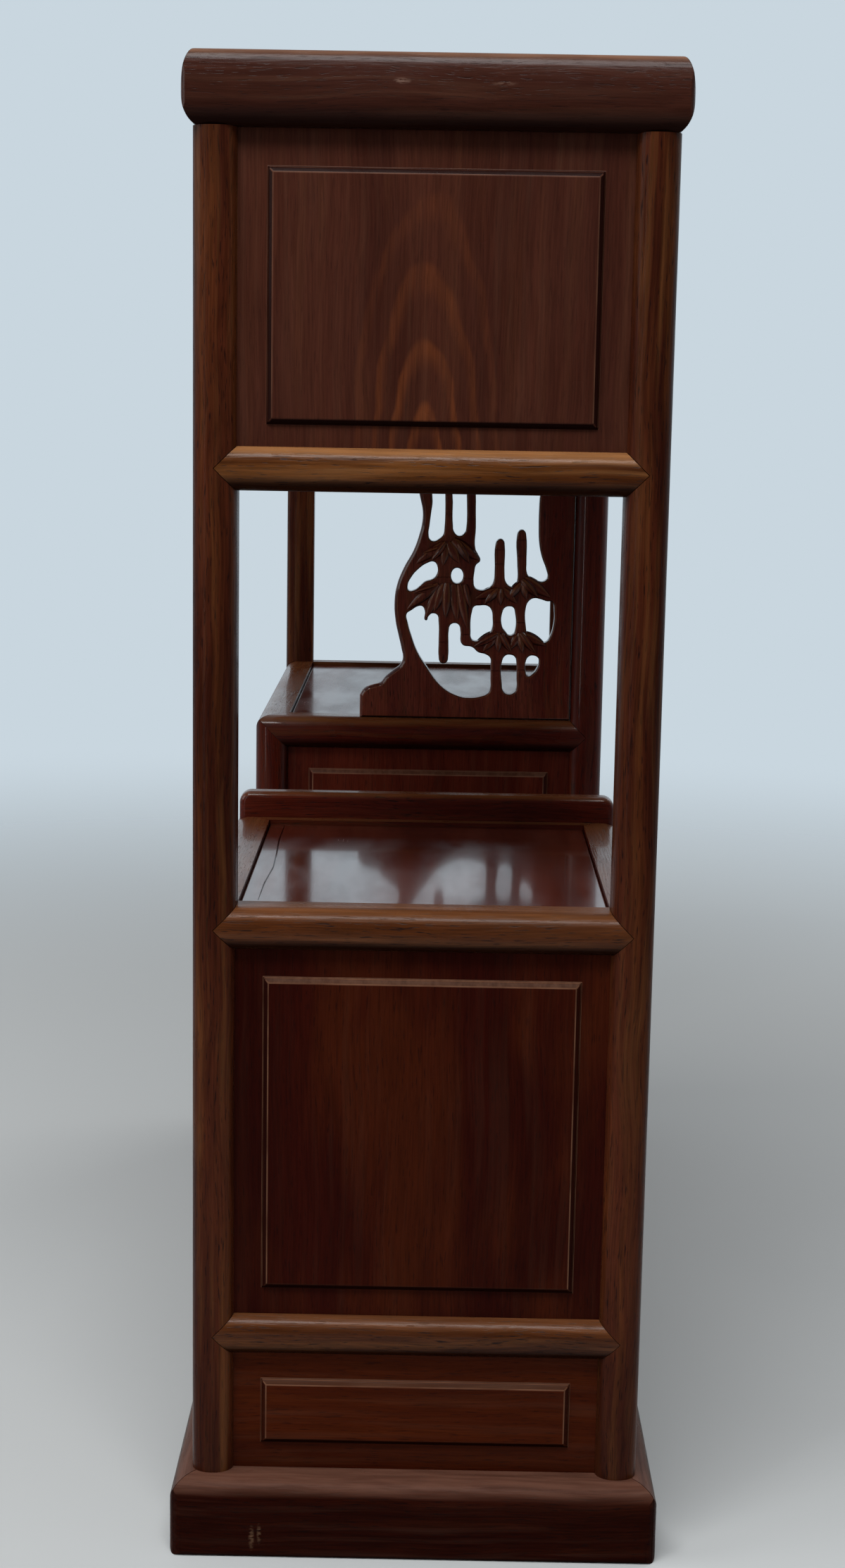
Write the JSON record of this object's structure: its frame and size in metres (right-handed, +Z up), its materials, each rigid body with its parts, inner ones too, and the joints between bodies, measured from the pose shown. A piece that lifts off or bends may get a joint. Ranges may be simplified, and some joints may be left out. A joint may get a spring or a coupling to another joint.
{
  "type": "display cabinet",
  "caption": "Hardwood display cabinet with stepped open shelves, cupboards with pivoting framed doors, raised panels and a pierced vase-shaped screen.",
  "frame": {"origin": "centre of the plinth's footprint, on the floor", "axes": "+X towards the right-hand end, -Y towards the front, +Z up"},
  "size_m": [0.977, 0.327, 0.976],
  "materials": {
    "frame_wood": "polished reddish-brown hardwood with worn edges",
    "panel_wood": "glossy dark red-brown hardwood",
    "knob_brass": "aged brass"
  },
  "bodies": {
    "carcase": {"top_front_rail": "frame_wood", "top_back_rail": "frame_wood", "top_left_end": "frame_wood", "top_right_end": "frame_wood", "top_panel": "panel_wood", "plinth_front": "frame_wood", "plinth_back": "frame_wood", "plinth_left": "frame_wood", "plinth_right": "frame_wood", "post_right_front": "frame_wood", "post_right_back": "frame_wood", "post_left_front": "frame_wood", "post_left_back": "frame_wood", "box_back_post": "frame_wood", "box_front_post": "frame_wood", "cupboard_front_post": "frame_wood", "cupboard_back_post": "frame_wood", "right_lower_rail": "frame_wood", "right_shelf_rail": "frame_wood", "right_upper_rail": "frame_wood", "left_lower_rail": "frame_wood", "left_box_rail": "frame_wood", "left_upper_rail": "frame_wood", "front_lower_rail": "frame_wood", "back_lower_rail": "frame_wood", "upper_front_rail": "frame_wood", "upper_back_rail": "frame_wood", "cupboard_front_rail": "frame_wood", "cupboard_back_rail": "frame_wood", "cupboard_lip_rail": "frame_wood", "box_front_rail": "frame_wood", "box_back_rail": "frame_wood", "box_side_rail": "frame_wood", "floor_panel": "panel_wood", "upper_shelf_panel": "panel_wood", "cupboard_top_panel": "panel_wood", "box_top_panel": "panel_wood", "right_upper_panel": "panel_wood", "right_lower_panel": "panel_wood", "right_base_panel": "panel_wood", "left_lower_panel": "panel_wood", "left_base_panel": "panel_wood", "front_apron": "panel_wood", "back_apron": "panel_wood", "box_side_panel": "panel_wood", "cupboard_side_panel": "panel_wood", "upper_partition": "panel_wood", "cupboard_back_panel": "panel_wood", "box_back_panel": "panel_wood", "upper_back_panel": "panel_wood", "vase_screen": "panel_wood"},
    "upper_door": {"upper_door_frame": "frame_wood", "upper_door_panel": "panel_wood", "upper_door_knob": "knob_brass"},
    "cupboard_door": {"cupboard_door_frame": "frame_wood", "cupboard_door_panel": "panel_wood", "cupboard_door_knob": "knob_brass"},
    "box_door": {"box_door_frame": "frame_wood", "box_door_panel": "panel_wood", "box_door_knob": "knob_brass"}
  },
  "joints": [
    {"name": "upper_door_hinge", "type": "hinge", "parent": "carcase", "child": "upper_door", "pos_m": [0.1592, -0.1332, 0.834], "axis": [0, 0, -1], "range_deg": [0, 90]},
    {"name": "cupboard_door_hinge", "type": "hinge", "parent": "carcase", "child": "cupboard_door", "pos_m": [0.4368, -0.1332, 0.289], "axis": [0, 0, 1], "range_deg": [0, 90]},
    {"name": "box_door_hinge", "type": "hinge", "parent": "carcase", "child": "box_door", "pos_m": [-0.4368, -0.1332, 0.314], "axis": [0, 0, -1], "range_deg": [0, 90]}
  ]
}
